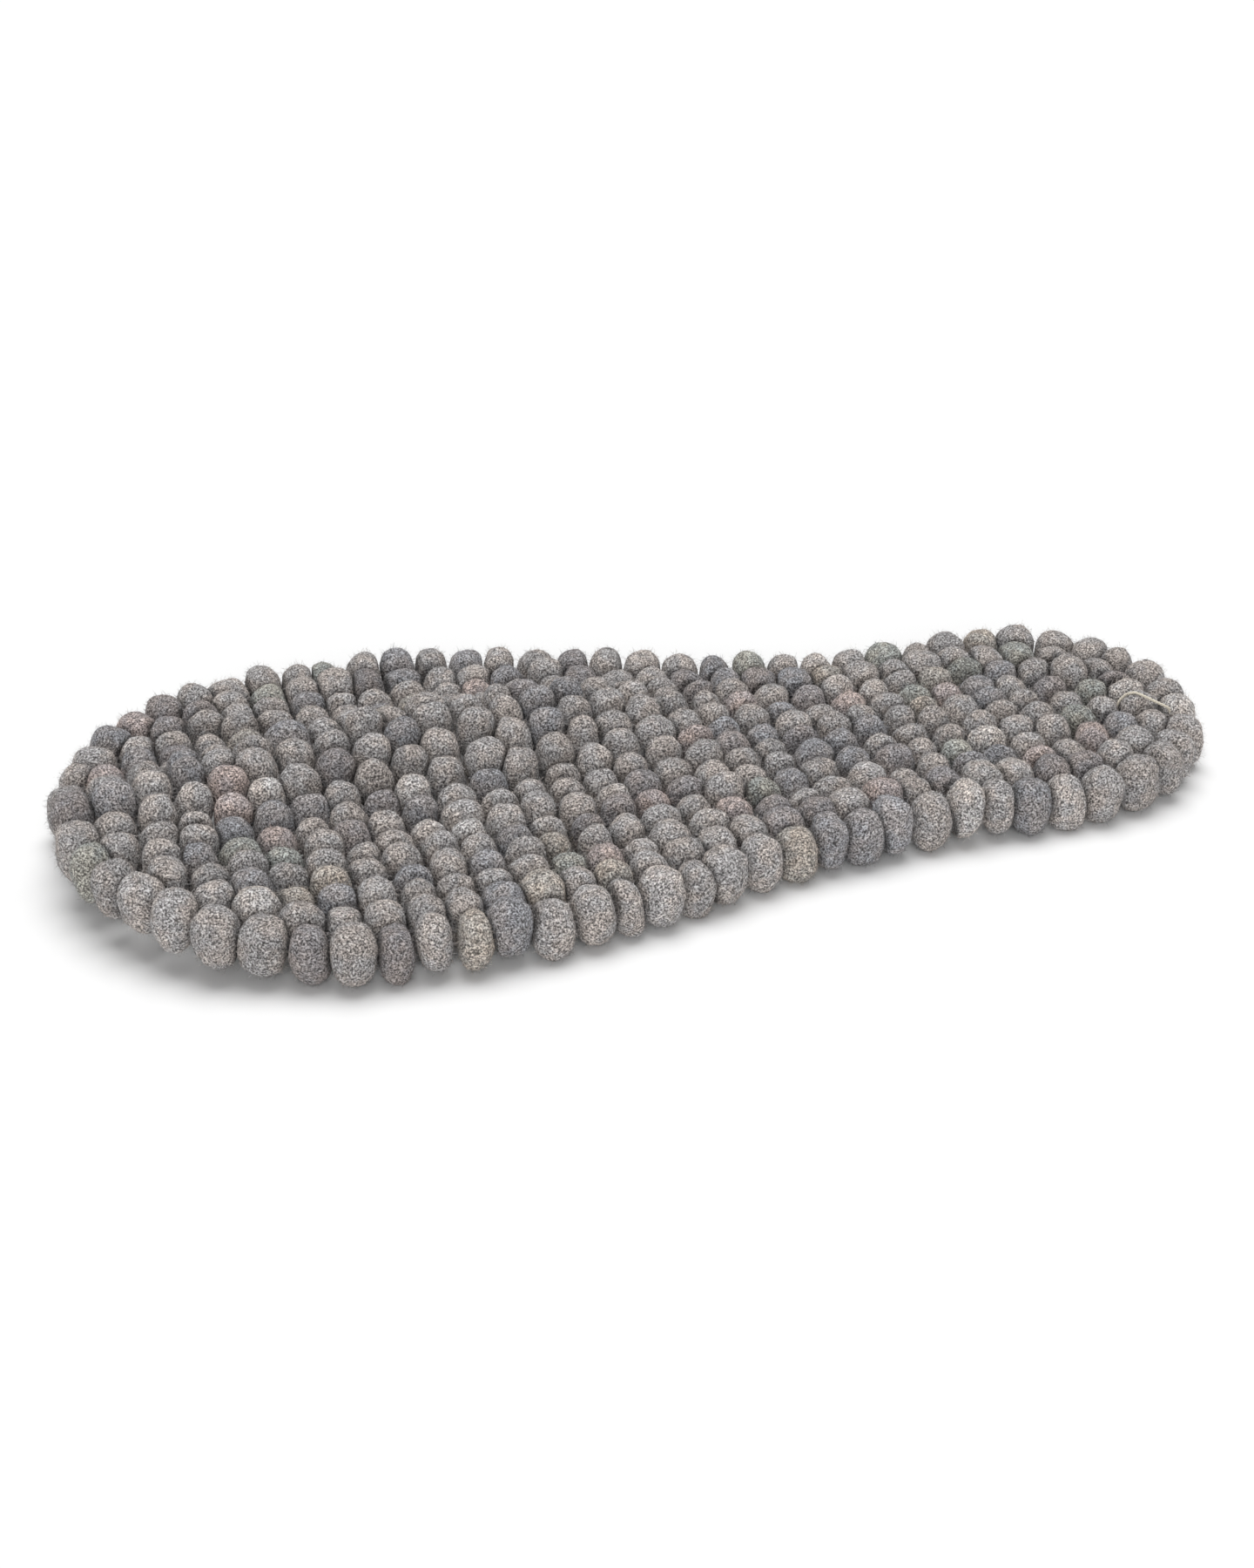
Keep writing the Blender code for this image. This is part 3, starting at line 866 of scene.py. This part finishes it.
triangles = 0
felt_pieces = []
for (part, kind, number), held in sorted(groups.items()):
    points = ball_points("ball_places", held)
    cages = grow(points, ball_cages, {"Cuts": CAGE_CUTS, "Radius": CAGE_RADIUS, "Finish": wool_felt})
    bpy.data.objects.remove(points, do_unlink=True)
    felt = subdivided(new_object(f"{part}_balls_{kind}_{number + 1}", cages), levels=1)
    shape_balls(felt.data)
    blades = grow(felt, fibres, {
        "Density": FIBRES_PER_M2, "Length": FIBRE_LENGTH, "Width": FIBRE_WIDTH,
        "Lean": FIBRE_LEAN, "Seed": SEED + number, "Finish": loose_wool,
    })
    above_floor(blades)
    fuzz = new_object(f"{part}_fibres_{kind}_{number + 1}", blades)
    attach(felt, kind, number)
    attach(fuzz, kind, number)
    stands_for = nodes_under(part, kind, number, held)
    if stands_for:
        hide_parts(*stands_for)
    felt_pieces.append(felt)
    for piece in (felt, fuzz):
        piece.data.calc_loop_triangles()
        triangles += len(piece.data.loop_triangles)
print("felt and fibres:", triangles, "triangles")

# %% [markdown]
# ## Cotton thread
# The sewing thread is undyed cotton. It lies inside the balls and in the gaps between them, where
# the frame already has it, so those nodes keep their shape and only get a finish. The thread inside
# the mat is painted dark, as painted shade for the shaded gaps it sits in, so there are two
# finishes: clean, and painted dark with shade.

# %% Cotton finish
COTTON = (0.93, 0.88, 0.77, 1.0)
COTTON_SHADOW = (0.70, 0.63, 0.51, 1.0)
# Painted shade: the inside thread's colours are this dark to stand for the shade of the gaps.
SHADE_DARKENED_COTTON = (0.20, 0.185, 0.17, 1.0)
SHADE_DARKENED_COTTON_SHADOW = (0.09, 0.085, 0.08, 1.0)
TWISTS_PER_M = 900.0
LINT_PER_M = 2600.0
TWIST_SLANT = (0.6, 0.5, 0.8)
TWIST_SHARE = 0.7          # of the colour's pattern, and lint makes the rest
TWIST_DEPTH = 0.0003


def cotton_finish(name, pale, dark):
    """Cotton with a fine slanting twist."""
    made = bpy.data.materials.new(name)
    made.use_nodes = True
    recipe = Recipe(made.node_tree)
    shader = made.node_tree.nodes["Principled BSDF"]
    place = recipe.node("ShaderNodeTexCoord").outputs["Object"]
    slanted = recipe.node("ShaderNodeMapping", {}, {"Vector": place, "Rotation": TWIST_SLANT})
    twist = recipe.number(
        "ShaderNodeTexWave", {"bands_direction": "X"},
        {"Vector": slanted.outputs[0], "Scale": TWISTS_PER_M, "Distortion": 2.0, "Detail": 2.0},
        output=1,
    )
    lint = recipe.number("ShaderNodeTexNoise", {}, {"Vector": place, "Scale": LINT_PER_M, "Detail": 2.0})
    share = twist * TWIST_SHARE + lint * (1 - TWIST_SHARE)
    colour = recipe.node(
        "ShaderNodeMix", {"data_type": "RGBA"}, {0: share, 6: dark, 7: pale}
    )
    made.node_tree.links.new(colour.outputs[2], shader.inputs["Base Color"])
    bump = recipe.node("ShaderNodeBump", {}, {"Strength": 0.6, "Distance": TWIST_DEPTH, "Height": twist})
    made.node_tree.links.new(bump.outputs[0], shader.inputs["Normal"])
    shader.inputs["Roughness"].default_value = 0.85
    shader.inputs["Specular IOR Level"].default_value = 0.2
    return made


cotton = cotton_finish("undyed_cotton_thread", COTTON, COTTON_SHADOW)
shade_darkened_cotton = cotton_finish("shade_darkened_cotton_thread", SHADE_DARKENED_COTTON, SHADE_DARKENED_COTTON_SHADOW)
# Painted shade: the threads inside the mat get the dark finish, for the shade they sit in.
for name, node in nodes.items():
    if name.startswith(("thread_", "fold_lacing_")):
        for slot in node.material_slots:
            slot.material = shade_darkened_cotton
print("thread finished")

# %% [markdown]
# ## The closing stitch
# Where the maker fastened off, one long stitch of the thread lies on top of the balls near the
# narrow tip. It is two thin strands twisted together. A taut thread touches the domes and bridges
# the hollows, so its path starts on the felt and is then pulled straight wherever that lifts it.

# %% Lay the closing stitch
STITCH_START = (-0.042, -0.011)    # from the narrow tip's end, along X and along Y
STITCH_END = (-0.018, -0.027)
STITCH_POINTS = 160
PLY_RADIUS = 0.00042
PLY_TURN = 0.0032                  # length of one turn of the twist
DIVE_SHARE = 0.06                  # share of the path at each end that goes down into the felt
DIVE_DEPTH = 0.004


def pulled_tight(heights):
    """The heights of a string pulled tight over a run of evenly spaced heights."""
    touching = []
    for k, height in enumerate(heights):
        while len(touching) > 1:
            first, last = touching[-2:]
            straight = heights[first] + (height - heights[first]) * (last - first) / (k - first)
            if heights[last] > straight:
                break
            touching.pop()
        touching.append(k)
    return np.interp(np.arange(len(heights)), touching, heights[touching])


def stitch_path(pieces):
    """The places of a taut thread over the balls, with both ends going down between them."""
    surface = surface_of(pieces)
    tip = cad_box[1][0]
    share = np.linspace(0, 1, STITCH_POINTS)
    xs = tip + STITCH_START[0] + share * (STITCH_END[0] - STITCH_START[0])
    ys = STITCH_START[1] + share * (STITCH_END[1] - STITCH_START[1])
    met = [meet(surface, (x, y, PROBE_REACH), (0, 0, -1)) for x, y in zip(xs, ys)]
    zs = pulled_tight(np.array([2 * PLY_RADIUS + (place.z if place else 0) for place in met]))
    from_end = np.minimum(share, 1 - share) / DIVE_SHARE
    zs -= DIVE_DEPTH * np.clip(1 - from_end, 0, 1) ** 2
    return np.column_stack([xs, ys, zs])


def twisted_pair(name, path, finish):
    """Two strands twisted round a path, as one mesh."""
    along = np.gradient(path, axis=0)
    along /= np.linalg.norm(along, axis=1)[:, None]
    aside = np.cross(along, (0, 0, 1))
    aside /= np.linalg.norm(aside, axis=1)[:, None]
    over = np.cross(aside, along)
    run = np.concatenate([[0], np.cumsum(np.linalg.norm(np.diff(path, axis=0), axis=1))])
    curve = bpy.data.curves.new(name, "CURVE")
    curve.dimensions = "3D"
    curve.bevel_depth = PLY_RADIUS
    curve.bevel_resolution = 1
    curve.use_fill_caps = True
    for start in (0, math.pi):
        angle = start + 2 * math.pi * run / PLY_TURN
        places = path + PLY_RADIUS * (np.cos(angle)[:, None] * aside + np.sin(angle)[:, None] * over)
        spline = curve.splines.new("POLY")
        spline.points.add(len(places) - 1)
        for point, place in zip(spline.points, places):
            point.co = (*place, 1)
    guide = new_object(name + "_guide", curve)
    mesh = final_mesh(guide)
    bpy.data.objects.remove(guide, do_unlink=True)
    mesh.materials.clear()
    mesh.materials.append(finish)
    return new_object(name, mesh)


tip_felt = [piece for piece in felt_pieces if piece.name.endswith("panel_6")]
stitch = twisted_pair("closing_stitch", stitch_path(tip_felt), cotton)
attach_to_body(stitch, "panel_6")
print("stitch height", round(max(vertex.co.z for vertex in stitch.data.vertices), 4))

# %% [markdown]
# ## Floor, light and camera
# A pale floor and broad soft light leave only a small shadow under the mat. The room beyond the
# floor looks white, though it gives less light than it seems to. The camera looks down on the mat
# from in front, with its long side turned a little away.

# %% Stage
FLOOR_SIZE = 12.0
FLOOR_COLOUR = (0.76, 0.76, 0.76)
SWING = math.radians(15.2)     # how far the mat's long side turns from the camera's right
CAMERA_TILT = math.radians(28)
CAMERA_DISTANCE = 1.340
AIM = Vector((-0.0054, 0.0142, 0.0))
LENS = 59.0
LONG_SIDE = 36.0
ROOM_LIGHT = 0.33
SKYLIGHT = 2.8
SKYLIGHT_HEIGHT = math.radians(105)
SKYLIGHT_SPREAD = math.radians(50)
FILL_LIGHT = 1.7
FILL_HEIGHT = math.radians(18)
FILL_SPREAD = math.radians(50)


def plain_finish(name, colour, roughness):
    made = bpy.data.materials.new(name)
    made.use_nodes = True
    shader = made.node_tree.nodes["Principled BSDF"]
    shader.inputs["Base Color"].default_value = (*colour, 1.0)
    shader.inputs["Roughness"].default_value = roughness
    return made


floor_mesh = bpy.data.meshes.new("pale_floor")
sheet = bmesh.new()
bmesh.ops.create_grid(sheet, x_segments=1, y_segments=1, size=FLOOR_SIZE / 2)
sheet.to_mesh(floor_mesh)
sheet.free()
floor_mesh.materials.append(plain_finish("pale_floor", FLOOR_COLOUR, 0.9))
new_object("pale_floor", floor_mesh)

world = bpy.data.worlds.new("soft_room")
bpy.context.scene.world = world
world.use_nodes = True
room = world.node_tree.nodes["Background"]
room.inputs["Color"].default_value = (1.0, 1.0, 1.0, 1.0)
seen = Recipe(world.node_tree).number("ShaderNodeLightPath")
world.node_tree.links.new((ROOM_LIGHT + seen * (1 - ROOM_LIGHT)).socket, room.inputs["Strength"])

right = Vector((math.cos(SWING), -math.sin(SWING), 0))
away = Vector((math.sin(SWING), math.cos(SWING), 0))
up = Vector((0, 0, 1))


def soft_daylight(name, power, height, spread):
    """A wide, even light from the camera's side, at an angle above the floor."""
    made = new_object(name, bpy.data.lights.new(name, "SUN"))
    made.data.energy = power
    made.data.angle = spread
    from_mat = math.sin(height) * up - math.cos(height) * away
    made.rotation_euler = from_mat.to_track_quat("Z", "Y").to_euler()


soft_daylight("skylight", SKYLIGHT, SKYLIGHT_HEIGHT, SKYLIGHT_SPREAD)
soft_daylight("low_fill", FILL_LIGHT, FILL_HEIGHT, FILL_SPREAD)

camera = new_object("camera", bpy.data.cameras.new("camera"))
camera.data.lens = LENS
camera.data.sensor_width = LONG_SIDE
sight = math.cos(CAMERA_TILT) * away - math.sin(CAMERA_TILT) * up
camera.location = AIM - CAMERA_DISTANCE * sight
camera.rotation_euler = sight.to_track_quat("-Z", "Y").to_euler()
bpy.context.scene.camera = camera
bpy.context.scene.view_settings.view_transform = "Standard"
print("camera at", [round(value, 3) for value in camera.location])
